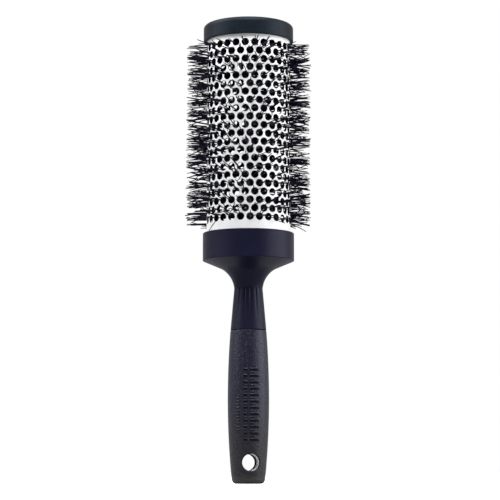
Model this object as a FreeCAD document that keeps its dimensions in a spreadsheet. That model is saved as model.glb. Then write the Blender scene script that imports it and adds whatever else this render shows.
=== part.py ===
import FreeCAD, Part
import math
import os
import Sketcher

# Round barrel brush: a perforated ceramic-coated aluminium barrel round a twisted-wire bristle core,
# pressed between a flared plastic collar and an end cap, on a slim handle with a soft-touch grip.
# Millimetres. The origin is the centre of the handle's flat end, +Z runs along the brush to the cap,
# and the hanging hole's axis is Y.

SHEET = "Dimensions"
DIMENSIONS = [
    # grip sleeve
    ("grip_end_radius", 8.25, "radius at the handle's flat end, before its corner is rounded"),
    ("grip_end_round", 2.4, "rounding of that corner"),
    ("grip_belly_radius", 10.5, "largest radius of the grip"),
    ("grip_belly_z", 43.0, "height of that belly"),
    ("grip_top_radius", 9.15, "radius at the grip's upper edge"),
    ("grip_top_z", 77.5, "height of the upper edge"),
    ("grip_top_round", 0.3, "rounding of the upper edge"),
    ("grip_lower_curve", 412.0, "radius of the long arc from the end to the belly"),
    ("grip_upper_curve", 441.0, "radius of the long arc from the belly to the upper edge"),
    ("hang_hole_radius", 4.3, "hanging hole through the handle's end"),
    ("hang_hole_z", 10.8, "height of the hole's axis"),
    ("hang_hole_chamfer", 0.4, "chamfer round both mouths of the hole"),
    ("rib_height", 1.2, "tactile ribs on the front, along the handle"),
    ("rib_pitch", 3.2, "spacing of the ribs"),
    ("rib_first_z", 21.5, "lower edge of the first rib"),
    ("rib_rise", 0.25, "how far a rib stands out of the grip"),
    ("rib_sweep", 46.0, "angle that a rib spans round the grip, degrees"),
    # handle core
    ("tang_radius", 5.0, "core's tang inside the grip"),
    ("tang_bottom_z", 18.5, "foot of the tang, above the hanging hole"),
    ("neck_bottom_z", 77.8, "neck's lower shoulder, a thin gap above the grip"),
    ("neck_bottom_radius", 9.15, "neck's radius there"),
    ("neck_top_z", 98.9, "top of the neck, where the collar sits"),
    ("neck_top_radius", 7.25, "neck's radius there"),
    ("flute_count", 16, "shallow flutes round the neck"),
    ("flute_radius", 1.5, "radius of a flute's section"),
    ("flute_depth", 0.35, "depth of a flute at the top of the neck"),
    ("flute_fade_z", 82.5, "height where the flutes run out"),
    ("spigot_radius", 5.5, "spigot up into the collar"),
    ("spigot_top_z", 118.2, "top of the spigot"),
    # collar
    ("collar_radius", 23.38, "cup round the barrel's lower end"),
    ("collar_lip_z", 127.4, "upper lip of the cup"),
    ("collar_lip_round", 0.45, "rounding of the lip"),
    ("collar_edge_z", 113.3, "sharp lower edge of the cup"),
    ("funnel_shoulder_radius", 14.2, "where the funnel's straight cone turns into its arc"),
    ("funnel_shoulder_z", 109.4, "height there"),
    ("funnel_curve", 13.0, "radius of the funnel's arc"),
    ("collar_floor_z", 119.5, "ledge that carries the base plug and the barrel"),
    ("collar_wall", 3.2, "wall round the hollow under the ledge"),
    # barrel
    ("barrel_radius", 21.5, "outside of the barrel, a 43 mm size"),
    ("barrel_wall", 0.8, "aluminium tube with its coating"),
    ("barrel_bottom_z", 121.0, "lower end, seated in the collar"),
    ("barrel_top_z", 231.4, "upper end, seated in the cap"),
    ("vent_radius", 1.88, "air vents, one bristle clump in each"),
    ("vents_per_row", 28, "vents round the barrel"),
    ("row_count", 22, "rows of vents"),
    ("row_pitch", 4.25, "spacing of the rows"),
    ("top_row_z", 222.9, "height of the uppermost row"),
    # end cap
    ("cap_radius", 23.2, "outside of the cap"),
    ("cap_rim_z", 227.1, "lower rim of the cap"),
    ("cap_top_z", 236.0, "flat top"),
    ("cap_round", 2.2, "rounding of the top edge"),
    ("cap_wall", 2.0, "thickness of the top"),
    ("spigot_wall", 1.4, "wall of the rings that fit inside the barrel"),
    # base plug
    ("plug_top_z", 128.0, "top of the plug's ring inside the barrel"),
    ("plug_floor", 2.0, "thickness of the plug's floor"),
    ("boss_radius", 4.0, "bosses that hold the ends of the wire core"),
    ("boss_height", 7.5, "height of those bosses"),
    # wire core
    ("strand_radius", 0.8, "each of the two steel strands"),
    ("strand_offset", 0.85, "strand's axis from the brush's axis"),
    ("twist_pitch", 8.5, "one full twist, two rows of bristles"),
    ("core_bottom_z", 121.8, "foot of the wire core"),
    ("core_top_z", 230.0, "top of the wire core"),
    # bristles
    ("bristle_radius", 0.25, "nylon filament"),
    ("bristle_reach", 31.5, "bristle tips from the brush's axis"),
    ("root_radius", 2.4, "clamped roots of a row, round the wire core"),
    ("root_height", 1.0, "height of those roots"),
    ("fit_gap", 0.05, "clearance between pressed and pushed fits"),
]


class Size:
    """A number together with the sheet expression it comes from, so that sums of sizes stay bound."""

    def __init__(self, number, text):
        self.number = number
        self.text = text

    def __add__(self, other):
        return combine(self, "+", other, self.number + number_of(other))

    def __sub__(self, other):
        return combine(self, "-", other, self.number - number_of(other))

    def __mul__(self, other):
        return combine(self, "*", other, self.number * number_of(other))

    def __truediv__(self, other):
        return combine(self, "/", other, self.number / number_of(other))


def number_of(value):
    return value.number if isinstance(value, Size) else float(value)


def text_of(value):
    return value.text if isinstance(value, Size) else repr(float(value))


def combine(left, sign, right, number):
    return Size(number, f"({text_of(left)} {sign} {text_of(right)})")


def fill_sheet():
    """Writes the driving dimensions into the sheet and returns them by name."""
    sheet = doc.addObject("Spreadsheet::Sheet", SHEET)
    for row, (alias, number, meaning) in enumerate(DIMENSIONS, start=1):
        sheet.set(f"A{row}", alias)
        sheet.set(f"B{row}", str(number))
        sheet.set(f"C{row}", meaning)
        sheet.setAlias(f"B{row}", alias)
    doc.recompute()
    return {alias: Size(getattr(sheet, alias), f"{SHEET}.{alias}") for alias, _, _ in DIMENSIONS}


def bind(obj, **sizes):
    """Sets properties of an object to sizes of the sheet."""
    for name, size in sizes.items():
        setattr(obj, name, number_of(size))
        obj.setExpression(name, text_of(size))


def place(obj, height=None, turn=None):
    """Binds an object's height and its turn about Z to the sheet."""
    if height is not None:
        obj.setExpression("Placement.Base.z", text_of(height))
    if turn is not None:
        obj.setExpression("Placement.Rotation.Angle", text_of(turn))


def new_body(name):
    body = doc.addObject("PartDesign::Body", name)
    body.Label = name
    return body


def datum(body, role):
    """One of a body's own origin planes or axes."""
    return next(feature for feature in body.Origin.OriginFeatures if feature.Role == role)


def new_sketch(body, name, plane, turn=0.0):
    """A sketch on an origin plane; turn swings it about its own upright direction, in degrees."""
    sketch = body.newObject("Sketcher::SketchObject", name)
    sketch.AttachmentSupport = [(datum(body, plane), "")]
    sketch.MapMode = "FlatFace"
    swing = FreeCAD.Rotation(FreeCAD.Vector(0, 1, 0), turn)
    sketch.AttachmentOffset = FreeCAD.Placement(FreeCAD.Vector(0, 0, 0), swing)
    return sketch


def constrain(sketch, kind, *where, size):
    """A dimension of a sketch, bound to a size of the sheet."""
    index = sketch.addConstraint(Sketcher.Constraint(kind, *where, number_of(size)))
    sketch.setExpression(f"Constraints[{index}]", text_of(size))


def pin_point(sketch, geometry, position, across, up):
    """Holds a sketch point at (across, up); a zero puts it on that axis of the sketch."""
    for kind, value, axis in (("DistanceX", across, -2), ("DistanceY", up, -1)):
        if number_of(value) == 0:
            sketch.addConstraint(Sketcher.Constraint("PointOnObject", geometry, position, axis))
        else:
            constrain(sketch, kind, -1, 1, geometry, position, size=value)


def arc_between(start, end, radius):
    """Arc from start to end; a positive radius bulges to the right of the way from start to end."""
    chord = end - start
    middle = (start + end) * 0.5
    right = FreeCAD.Vector(chord.y, -chord.x, 0).normalize()
    sagitta = abs(radius) - math.sqrt(radius**2 - (chord.Length / 2) ** 2)
    return Part.Arc(start, middle + right * math.copysign(sagitta, radius), end)


def add_outline(sketch, corners, arcs=None):
    """Adds a closed outline through (across, up) corners; arcs maps a side's number to (size, bulge)."""
    arcs = arcs or {}
    points = [FreeCAD.Vector(number_of(across), number_of(up), 0) for across, up in corners]
    ends = []
    for side, start in enumerate(points):
        end = points[(side + 1) % len(points)]
        if side in arcs:
            radius, bulge = arcs[side]
            geometry = sketch.addGeometry(arc_between(start, end, bulge * number_of(radius)))
            constrain(sketch, "Radius", geometry, size=radius)
        else:
            geometry = sketch.addGeometry(Part.LineSegment(start, end))
        starts_first = sketch.getPoint(geometry, 1).distanceToPoint(start) < 1e-6
        ends.append((geometry, 1, 2) if starts_first else (geometry, 2, 1))
    for side, (geometry, first, last) in enumerate(ends):
        following, following_first, _ = ends[(side + 1) % len(ends)]
        sketch.addConstraint(
            Sketcher.Constraint("Coincident", geometry, last, following, following_first)
        )
        pin_point(sketch, geometry, first, *corners[side])


def add_circle(sketch, across, up, radius):
    centre = FreeCAD.Vector(number_of(across), number_of(up), 0)
    circle = Part.Circle(centre, FreeCAD.Vector(0, 0, 1), number_of(radius))
    geometry = sketch.addGeometry(circle)
    constrain(sketch, "Radius", geometry, size=radius)
    if number_of(across) == 0 and number_of(up) == 0:
        sketch.addConstraint(Sketcher.Constraint("Coincident", geometry, 3, -1, 1))
    else:
        pin_point(sketch, geometry, 3, across, up)


def revolve(body, name, corners, arcs=None):
    """A turned solid: its half section in (radius, height), revolved about the brush's axis."""
    sketch = new_sketch(body, name + "_section", "XZ_Plane")
    add_outline(sketch, corners, arcs)
    feature = body.newObject("PartDesign::Revolution", name)
    feature.Profile = sketch
    feature.ReferenceAxis = (sketch, ["V_Axis"])
    feature.Angle = 360
    doc.recompute()
    return feature


def circular_pattern(body, feature, name, count):
    pattern = body.newObject("PartDesign::PolarPattern", name)
    pattern.Originals = [feature]
    pattern.Axis = (datum(body, "Z_Axis"), [""])
    pattern.Angle = 360
    pattern.Occurrences = int(number_of(count))
    pattern.setExpression("Occurrences", text_of(count))
    body.Tip = pattern
    doc.recompute()
    return pattern


def edges_where(shape, test):
    """Names of a shape's edges that pass a test."""
    return [f"Edge{i}" for i, edge in enumerate(shape.Edges, start=1) if test(edge)]


def is_ring(edge, radius, height):
    """Whether an edge is the circle of a given radius and height about the brush's axis."""
    if not isinstance(edge.Curve, Part.Circle):
        return False
    same_radius = abs(edge.Curve.Radius - number_of(radius)) < 0.02
    return same_radius and abs(edge.Curve.Center.z - number_of(height)) < 0.02


def round_ring(body, name, radius, height, fillet):
    """Rounds the circular edge of a turned solid at a given radius and height."""
    base = body.Tip
    feature = body.newObject("PartDesign::Fillet", name)
    feature.Base = (base, edges_where(base.Shape, lambda edge: is_ring(edge, radius, height)))
    bind(feature, Radius=fillet)
    doc.recompute()


def volume_drops(body, feature_name, before):
    """A cut that points away from the solid removes nothing, so its effect is checked."""
    if body.Shape.Volume > before - 0.01:
        raise RuntimeError(f"{feature_name} removed nothing from {body.Label}")


def make_grip_sleeve():
    """Soft-touch sleeve over the tang, closed at the end, with the hanging hole and tactile ribs."""
    body = new_body("grip_sleeve")
    bore = size["tang_radius"] + size["fit_gap"]
    corners = [
        (0, 0),
        (size["grip_end_radius"], 0),
        (size["grip_belly_radius"], size["grip_belly_z"]),
        (size["grip_top_radius"], size["grip_top_z"]),
        (bore, size["grip_top_z"]),
        (bore, size["tang_bottom_z"] - size["fit_gap"]),
        (0, size["tang_bottom_z"] - size["fit_gap"]),
    ]
    arcs = {1: (size["grip_lower_curve"], 1), 2: (size["grip_upper_curve"], 1)}
    revolve(body, "sleeve", corners, arcs)

    ribs = new_sketch(body, "rib_sections", "YZ_Plane", turn=180.0)
    for number in range(RIBS):
        low = size["rib_first_z"] + size["rib_pitch"] * number
        high = low + size["rib_height"]
        middle = low + size["rib_height"] / 2
        offset = middle - size["grip_belly_z"]
        curve = size["grip_lower_curve"] if offset.number < 0 else size["grip_upper_curve"]
        surface = size["grip_belly_radius"] - offset * offset / (curve * 2)
        inner = size["tang_radius"] + RIB_ROOT
        outer = surface + size["rib_rise"]
        add_outline(ribs, [(inner, low), (outer, low), (outer, high), (inner, high)])
    rib = body.newObject("PartDesign::Revolution", "ribs")
    rib.Profile = ribs
    rib.ReferenceAxis = (ribs, ["V_Axis"])
    bind(rib, Angle=size["rib_sweep"])
    rib.Midplane = True
    doc.recompute()

    before = body.Shape.Volume
    hole = new_sketch(body, "hang_hole_circle", "XZ_Plane")
    add_circle(hole, 0, size["hang_hole_z"], size["hang_hole_radius"])
    pocket = body.newObject("PartDesign::Pocket", "hang_hole")
    pocket.Profile = hole
    bind(pocket, Length=size["grip_belly_radius"] * 4)
    pocket.Midplane = True
    doc.recompute()
    volume_drops(body, "hang_hole", before)

    round_ring(body, "end_round", size["grip_end_radius"], 0, size["grip_end_round"])
    round_ring(body, "top_round", size["grip_top_radius"], size["grip_top_z"], size["grip_top_round"])

    def at_hole_mouth(edge):
        low = size["hang_hole_z"].number - size["hang_hole_radius"].number - 0.1
        high = size["hang_hole_z"].number + size["hang_hole_radius"].number + 0.1
        box = edge.BoundBox
        inside = box.ZMin > low and box.ZMax < high
        return inside and box.XLength > size["hang_hole_radius"].number

    base = body.Tip
    chamfer = body.newObject("PartDesign::Chamfer", "hang_hole_lead")
    chamfer.Base = (base, edges_where(base.Shape, at_hole_mouth))
    bind(chamfer, Size=size["hang_hole_chamfer"])
    doc.recompute()
    return body


def make_handle_core():
    """Rigid core: tang inside the grip, fluted neck in the open, spigot up into the collar."""
    body = new_body("handle_core")
    corners = [
        (0, size["tang_bottom_z"]),
        (size["tang_radius"], size["tang_bottom_z"]),
        (size["tang_radius"], size["neck_bottom_z"]),
        (size["neck_bottom_radius"], size["neck_bottom_z"]),
        (size["neck_top_radius"], size["neck_top_z"]),
        (size["spigot_radius"], size["neck_top_z"]),
        (size["spigot_radius"], size["spigot_top_z"]),
        (0, size["spigot_top_z"]),
    ]
    revolve(body, "core", corners)

    # a flute is a round cutter whose axis leans away from the neck, so that it runs out downwards
    before = body.Shape.Volume
    slope = (size["neck_bottom_radius"] - size["neck_top_radius"]) / (
        size["neck_top_z"] - size["neck_bottom_z"]
    )
    fade_radius = size["neck_top_radius"] + slope * (size["neck_top_z"] - size["flute_fade_z"])
    high = size["neck_top_z"] + size["flute_radius"]
    low = size["flute_fade_z"] - size["flute_radius"]
    lean = (fade_radius - size["neck_top_radius"] + size["flute_depth"]) / (
        size["neck_top_z"] - size["flute_fade_z"]
    )
    inner_top = size["neck_top_radius"] - size["flute_depth"] - lean * size["flute_radius"]
    inner_low = fade_radius + lean * size["flute_radius"]
    cutter = new_sketch(body, "flute_section", "XZ_Plane")
    corners = [
        (inner_low, low),
        (inner_low + size["flute_radius"], low),
        (inner_top + size["flute_radius"], high),
        (inner_top, high),
    ]
    add_outline(cutter, corners)
    groove = body.newObject("PartDesign::Groove", "flute")
    groove.Profile = cutter
    groove.ReferenceAxis = (cutter, ["Edge2"])
    groove.Angle = 360
    doc.recompute()
    volume_drops(body, "flute", before)
    circular_pattern(body, groove, "flutes", size["flute_count"])
    return body


def make_barrel_collar():
    """Cup round the barrel's lower end, with the funnel that runs down to the neck."""
    body = new_body("barrel_collar")
    cup = size["barrel_radius"] + size["fit_gap"]
    hollow = size["collar_radius"] - size["collar_wall"]
    bore = size["spigot_radius"] + size["fit_gap"]
    boss = bore + size["spigot_wall"] * 2
    hollow_floor = size["funnel_shoulder_z"] + size["collar_wall"]
    corners = [
        (bore, size["neck_top_z"]),
        (size["neck_top_radius"], size["neck_top_z"]),
        (size["funnel_shoulder_radius"], size["funnel_shoulder_z"]),
        (size["collar_radius"], size["collar_edge_z"]),
        (size["collar_radius"], size["collar_lip_z"]),
        (cup, size["collar_lip_z"]),
        (cup, size["collar_floor_z"]),
        (hollow, size["collar_floor_z"]),
        (hollow, size["collar_edge_z"] + size["spigot_wall"]),
        (size["funnel_shoulder_radius"], hollow_floor),
        (boss, hollow_floor),
        (boss, size["spigot_top_z"]),
        (bore, size["spigot_top_z"]),
    ]
    revolve(body, "cup", corners, {1: (size["funnel_curve"], -1)})
    round_ring(
        body, "lip_round", size["collar_radius"], size["collar_lip_z"], size["collar_lip_round"]
    )
    return body


def make_base_plug():
    """Plug pressed into the barrel's lower end; its boss holds the foot of the wire core."""
    body = new_body("barrel_base_plug")
    ring = size["barrel_radius"] - size["barrel_wall"] - size["fit_gap"]
    floor_top = size["collar_floor_z"] + size["plug_floor"]
    socket = size["strand_offset"] + size["strand_radius"] + size["fit_gap"]
    corners = [
        (0, size["collar_floor_z"]),
        (size["barrel_radius"], size["collar_floor_z"]),
        (size["barrel_radius"], size["barrel_bottom_z"]),
        (ring, size["barrel_bottom_z"]),
        (ring, size["plug_top_z"]),
        (ring - size["spigot_wall"], size["plug_top_z"]),
        (ring - size["spigot_wall"], floor_top),
        (size["boss_radius"], floor_top),
        (size["boss_radius"], floor_top + size["boss_height"]),
        (socket, floor_top + size["boss_height"]),
        (socket, size["core_bottom_z"] - size["fit_gap"]),
        (0, size["core_bottom_z"] - size["fit_gap"]),
    ]
    revolve(body, "plug", corners)
    return body


def make_end_cap():
    """Cap over the barrel's upper end, with a ring inside the barrel and a socket for the core."""
    body = new_body("end_cap")
    cup = size["barrel_radius"] + size["fit_gap"]
    ring = size["barrel_radius"] - size["barrel_wall"] - size["fit_gap"]
    seat = size["barrel_top_z"] + size["fit_gap"]
    underside = size["cap_top_z"] - size["cap_wall"]
    socket = size["strand_offset"] + size["strand_radius"] + size["fit_gap"]
    corners = [
        (0, size["cap_top_z"]),
        (0, size["core_top_z"] + size["fit_gap"]),
        (socket, size["core_top_z"] + size["fit_gap"]),
        (socket, underside - size["boss_height"]),
        (size["boss_radius"], underside - size["boss_height"]),
        (size["boss_radius"], underside),
        (ring - size["spigot_wall"], underside),
        (ring - size["spigot_wall"], size["cap_rim_z"] - size["spigot_wall"]),
        (ring, size["cap_rim_z"] - size["spigot_wall"]),
        (ring, seat),
        (cup, seat),
        (cup, size["cap_rim_z"]),
        (size["cap_radius"], size["cap_rim_z"]),
        (size["cap_radius"], size["cap_top_z"]),
    ]
    revolve(body, "cap", corners)
    round_ring(body, "top_edge_round", size["cap_radius"], size["cap_top_z"], size["cap_round"])
    return body


def row_height(row):
    """Height of a row of vents and bristles, counted down from the cap."""
    return size["top_row_z"] - size["row_pitch"] * row


def row_turn(row):
    """Every other row is turned by half a vent's spacing, degrees."""
    return Size(0.0, "0") if row % 2 == 0 else Size(180.0, "180") / size["vents_per_row"]


def make_barrel():
    """Perforated aluminium tube: rows of vents, staggered by half their spacing."""
    outside = doc.addObject("Part::Cylinder", "barrel_outside")
    inside = doc.addObject("Part::Cylinder", "barrel_inside")
    length = size["barrel_top_z"] - size["barrel_bottom_z"]
    for cylinder, radius in (
        (outside, size["barrel_radius"]),
        (inside, size["barrel_radius"] - size["barrel_wall"]),
    ):
        bind(cylinder, Radius=radius, Height=length)
        place(cylinder, height=size["barrel_bottom_z"])
    tube = doc.addObject("Part::Cut", "barrel_tube")
    tube.Base = outside
    tube.Tool = inside

    # one short radial drill for each vent, gathered in one cutting tool
    drill_length = size["barrel_wall"].number * 4
    start = size["barrel_radius"].number - size["barrel_wall"].number * 2.5
    drills = []
    for row in range(ROWS):
        for vent in range(VENTS):
            angle = math.radians(360 * vent / VENTS + row_turn(row).number)
            outward = FreeCAD.Vector(math.cos(angle), math.sin(angle), 0)
            foot = outward * start + FreeCAD.Vector(0, 0, row_height(row).number)
            drills.append(Part.makeCylinder(size["vent_radius"].number, drill_length, foot, outward))
    vents = doc.addObject("Part::Feature", "vent_drills")
    vents.Shape = Part.makeCompound(drills)

    barrel = doc.addObject("Part::Cut", "barrel")
    barrel.Label = "barrel"
    barrel.Base = tube
    barrel.Tool = vents
    doc.recompute()
    return barrel


def make_core_strand(name, half_turn):
    """One steel strand of the twisted core: a round section swept along its helix."""
    helix = doc.addObject("Part::Helix", name + "_path")
    bind(
        helix,
        Pitch=size["twist_pitch"],
        Height=size["core_top_z"] - size["core_bottom_z"] - size["strand_radius"] * 2,
        Radius=size["strand_offset"],
    )
    section = doc.addObject("Part::Circle", name + "_section")
    bind(section, Radius=size["strand_radius"])
    climb = math.degrees(math.atan2(helix.Pitch.Value, 2 * math.pi * helix.Radius.Value))
    tilt = FreeCAD.Rotation(FreeCAD.Vector(1, 0, 0), climb - 90)
    section.Placement = FreeCAD.Placement(FreeCAD.Vector(0, 0, 0), tilt)
    section.setExpression("Placement.Base.x", text_of(size["strand_offset"]))
    strand = doc.addObject("Part::Sweep", name)
    strand.Label = name
    strand.Sections = [section]
    strand.Spine = (helix, ["Edge1"])
    strand.Solid = True
    strand.Frenet = True
    strand.Placement.Rotation = FreeCAD.Rotation(FreeCAD.Vector(0, 0, 1), half_turn)
    place(strand, height=size["core_bottom_z"] + size["strand_radius"])
    doc.recompute()
    return strand


def make_bristle_row():
    """The uppermost row: bristles through every vent, with their clamped roots round the core."""
    body = new_body("bristle_row_01")
    root = new_sketch(body, "root_circle", "XY_Plane")
    add_circle(root, 0, 0, size["root_radius"])
    disc = body.newObject("PartDesign::Pad", "root")
    disc.Profile = root
    bind(disc, Length=size["root_height"])
    disc.Midplane = True
    filament = new_sketch(body, "filament_circle", "YZ_Plane")
    add_circle(filament, 0, 0, size["bristle_radius"])
    bristle = body.newObject("PartDesign::Pad", "bristle")
    bristle.Profile = filament
    bind(bristle, Length=size["bristle_reach"])
    doc.recompute()
    circular_pattern(body, bristle, "bristles", size["vents_per_row"])

    before = body.Shape.Volume
    bore = new_sketch(body, "core_bore_circle", "XY_Plane")
    add_circle(bore, 0, 0, size["strand_offset"] + size["strand_radius"] + size["fit_gap"])
    pocket = body.newObject("PartDesign::Pocket", "core_bore")
    pocket.Profile = bore
    bind(pocket, Length=size["root_height"] * 2)
    pocket.Midplane = True
    doc.recompute()
    volume_drops(body, "core_bore", before)
    place(body, height=row_height(0), turn=row_turn(0))
    return body


def copy_bristle_row(first_row, row):
    """A further row: the same bristles at its own height, every other one turned."""
    body = new_body(f"bristle_row_{row + 1:02d}")
    copy = body.newObject("PartDesign::FeatureBase", f"bristles_{row + 1:02d}")
    copy.BaseFeature = first_row.Tip
    body.Tip = copy
    place(body, height=row_height(row), turn=row_turn(row))
    return body


def check_and_export(pieces):
    """Stops on any failed object, then writes each piece to its own file."""
    for obj in doc.Objects:
        failed = [word for word in ("Invalid", "Error") if word in obj.State]
        if failed:
            raise RuntimeError(f"{obj.Label} is {failed}")
    for piece in pieces:
        shape = piece.Shape
        if shape.isNull() or not shape.isValid() or len(shape.Solids) != 1:
            raise RuntimeError(f"{piece.Label} is not one valid solid")
    os.makedirs("parts", exist_ok=True)
    for piece in pieces:
        box = piece.Shape.BoundBox
        piece.Shape.exportStep(f"parts/{piece.Label}.step")
        print(f"{piece.Label}: {piece.Shape.Volume:.1f} mm3, z {box.ZMin:.2f} to {box.ZMax:.2f}")


doc = FreeCAD.newDocument("round_barrel_brush")
size = fill_sheet()
ROWS = int(size["row_count"].number)
VENTS = int(size["vents_per_row"].number)
RIBS = 12
RIB_ROOT = 2.0  # how far above the tang a rib's section starts, inside the sleeve

top_row = make_bristle_row()
pieces = [
    make_handle_core(),
    make_grip_sleeve(),
    make_barrel_collar(),
    make_base_plug(),
    make_barrel(),
    make_end_cap(),
    make_core_strand("core_wire_a", 0),
    make_core_strand("core_wire_b", 180),
    top_row,
]
pieces += [copy_bristle_row(top_row, row) for row in range(1, ROWS)]
doc.recompute()
check_and_export(pieces)
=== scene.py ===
import math
import random

import bmesh
import bpy
import numpy as np
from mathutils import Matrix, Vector


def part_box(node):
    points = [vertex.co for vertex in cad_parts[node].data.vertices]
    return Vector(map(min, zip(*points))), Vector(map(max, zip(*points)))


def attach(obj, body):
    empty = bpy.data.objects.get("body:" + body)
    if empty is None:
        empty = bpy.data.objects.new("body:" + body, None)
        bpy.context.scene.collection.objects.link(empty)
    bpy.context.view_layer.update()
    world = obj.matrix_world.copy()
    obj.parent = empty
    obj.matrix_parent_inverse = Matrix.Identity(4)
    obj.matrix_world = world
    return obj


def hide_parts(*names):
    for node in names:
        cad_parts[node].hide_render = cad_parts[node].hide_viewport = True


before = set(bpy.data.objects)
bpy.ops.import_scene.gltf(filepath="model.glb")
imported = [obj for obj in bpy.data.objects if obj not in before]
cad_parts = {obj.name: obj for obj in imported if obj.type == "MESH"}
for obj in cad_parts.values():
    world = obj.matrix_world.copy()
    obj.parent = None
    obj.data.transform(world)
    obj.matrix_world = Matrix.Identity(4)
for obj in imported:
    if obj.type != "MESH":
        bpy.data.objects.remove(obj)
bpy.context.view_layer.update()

# Round barrel brush standing on its handle's end. Metres, +Z along the brush, -Y is the front.
MM = 0.001


# ---------------------------------------------------------------- sizes

FIT_GAP = 0.05 * MM  # clearance between pressed parts

BARREL_LOW, BARREL_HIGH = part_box("barrel")
COLLAR_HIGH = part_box("barrel_collar")[1]
CAP_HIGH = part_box("end_cap")[1]
GRIP_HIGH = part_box("grip_sleeve")[1]
ROW_NAMES = sorted(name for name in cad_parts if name.startswith("bristle_row_"))
ROW_HEIGHTS = [(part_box(name)[0].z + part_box(name)[1].z) / 2 for name in ROW_NAMES]

BARREL_RADIUS = BARREL_HIGH.x
BARREL_WALL = 0.8 * MM
VENT_RADIUS = 1.88 * MM
VENT_RIM = 0.10 * MM  # rounding of a vent's outer edge
VENTS = 28
ROW_PITCH = ROW_HEIGHTS[0] - ROW_HEIGHTS[1]
VENT_STEP = 2 * math.pi / VENTS
CELL_ALONG, CELL_BESIDE = 6, 4  # mesh sides along a vent's cell, and beside it

SPIGOT_WALL = 1.4 * MM  # wall of the rings inside the barrel and round the spigot
BOSS_RADIUS = 4.0 * MM
BOSS_HEIGHT = 7.5 * MM

CAP_RADIUS = 23.2 * MM
CAP_RIM_Z = 227.1 * MM
CAP_TOP_Z = CAP_HIGH.z
CAP_ROUND = 2.2 * MM
CAP_WALL = 2.0 * MM
CORE_SOCKET_RADIUS = 1.7 * MM
CORE_SOCKET_TOP_Z = 230.05 * MM

COLLAR_RADIUS = COLLAR_HIGH.x
COLLAR_LIP_Z = COLLAR_HIGH.z
COLLAR_EDGE_Z = 113.3 * MM
COLLAR_FLOOR_Z = 119.5 * MM
COLLAR_LIP_ROUND = 0.45 * MM
COLLAR_WALL = 3.2 * MM
KINK_Z = 98.9 * MM
KINK_RADIUS = 7.25 * MM
SHOULDER_Z = 109.4 * MM
SHOULDER_RADIUS = 14.2 * MM
FUNNEL_CURVE = 13.0 * MM
SPIGOT_RADIUS = 5.5 * MM
SPIGOT_TOP_Z = 118.2 * MM
SEAM_GAP = 0.02 * MM  # between the collar's foot and the neck

NECK_FOOT_Z = 77.8 * MM
NECK_FOOT_RADIUS = 9.15 * MM
TANG_RADIUS = 5.0 * MM
TANG_FOOT_Z = 18.5 * MM
FLUTES = 16
FLUTE_DEPTH = 0.35 * MM
FLUTE_FADE_Z = 82.5 * MM
FLUTE_STOP = 0.05 * MM  # how far under the kink the flutes stop
FLUTE_LAND = 0.1  # cosine up to which the cone between two flutes stays as it is
FLUTE_POWERS = 1.3, 0.8  # shape of a flute across, and of its fading along the neck

GRIP_TOP_Z = GRIP_HIGH.z
GRIP_BELLY_RADIUS = 10.5 * MM
GRIP_BELLY_Z = 43.0 * MM
GRIP_LOWER_CURVE = 412.0 * MM
GRIP_UPPER_CURVE = 441.0 * MM
GRIP_END_ROUND = 2.4 * MM
GRIP_TOP_ROUND = 0.3 * MM
HANG_RADIUS = 4.3 * MM
HANG_Z = 10.8 * MM
HANG_LIP = 0.55 * MM  # rounding of the hole's mouths
HANG_TAPER = 0.06 * MM  # how much narrower the hole's radius is halfway through
HANG_HALF_LENGTH = 7  # millimetres over which it narrows
HANG_WINDOW = 3.9 * MM, 18.0 * MM  # heights of the patch of mesh round the hole
HANG_WINDOW_ANGLE = 45.01  # degrees to each side of the hole
SKIN_RADIUS = 7 * MM  # the sleeve's outline beyond this radius is its outside

RIB_FIRST_Z = 22.1 * MM
RIB_PITCH = 3.2 * MM
RIBS = 12
RIB_THICKNESS = 1.2 * MM
TICK_THICKNESS = 0.6 * MM
MARK_RISE = 0.25 * MM
MARK_EDGE = 0.3 * MM  # width of a mark's rounded edge
MARKS_LOW_Z, MARKS_HIGH_Z = 19 * MM, 60 * MM
MARK_COLUMNS = (
    # first and last angle in degrees from the front, first height, pitch, count, thickness
    (-4.0, 23.0, RIB_FIRST_Z, RIB_PITCH, RIBS, RIB_THICKNESS),
    (-23.0, -11.0, RIB_FIRST_Z, RIB_PITCH, RIBS, RIB_THICKNESS),
    (-4.0, 9.0, RIB_FIRST_Z + RIB_PITCH / 2, RIB_PITCH, RIBS - 1, TICK_THICKNESS),
    (-20.0, -13.0, RIB_FIRST_Z + RIB_PITCH / 2, RIB_PITCH, RIBS - 3, TICK_THICKNESS),
    (-43.0, -34.0, RIB_FIRST_Z + 1.5 * RIB_PITCH, RIB_PITCH / 2, RIBS - 1, TICK_THICKNESS),
)

CORE_RADIUS = 1.65 * MM
CORE_TWIST = 14.6 * MM  # one turn of the two sheets of bristles that the twisted wires clamp
CORE_START_Z = 210.35 * MM
CORE_START_ANGLE = math.radians(171.4)
BRISTLE_RADIUS = 0.23 * MM
BRISTLE_REACH = 31.5 * MM
BRISTLES_IN_A_VENT = (2, 2, 3, 3, 4, 5)
BRISTLE_SEED = 43
VENT_DRAW = 0.75 * MM  # how far in a vent the filaments are drawn towards their sheet
LOOSE_SHARE = 0.22  # filaments that stray more than the others, and how much more
LOOSE_FACTOR = 2.4
BENT_SHARE = 0.02  # bristles that are bent hard, and how far they bend and shorten
BENT_UP = 0.3, 0.7
BENT_SIDE = -0.5, 0.5
BENT_LENGTH = 0.75, 0.95
SLOPE_KEPT = 0.55  # share of its slope inside the barrel that a filament keeps outside
LENGTH_EXTRA = 0.15 * MM
ROOT_SPREAD = -0.8, 0.8  # millimetres to the side of the core where a filament starts
THICKNESS_SPREAD = 0.9, 1.15  # share of the bristle radius
TIP_HEIGHT, TIP_RADIUS = 0.6, 0.72  # shares of the radius of the filament

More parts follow.
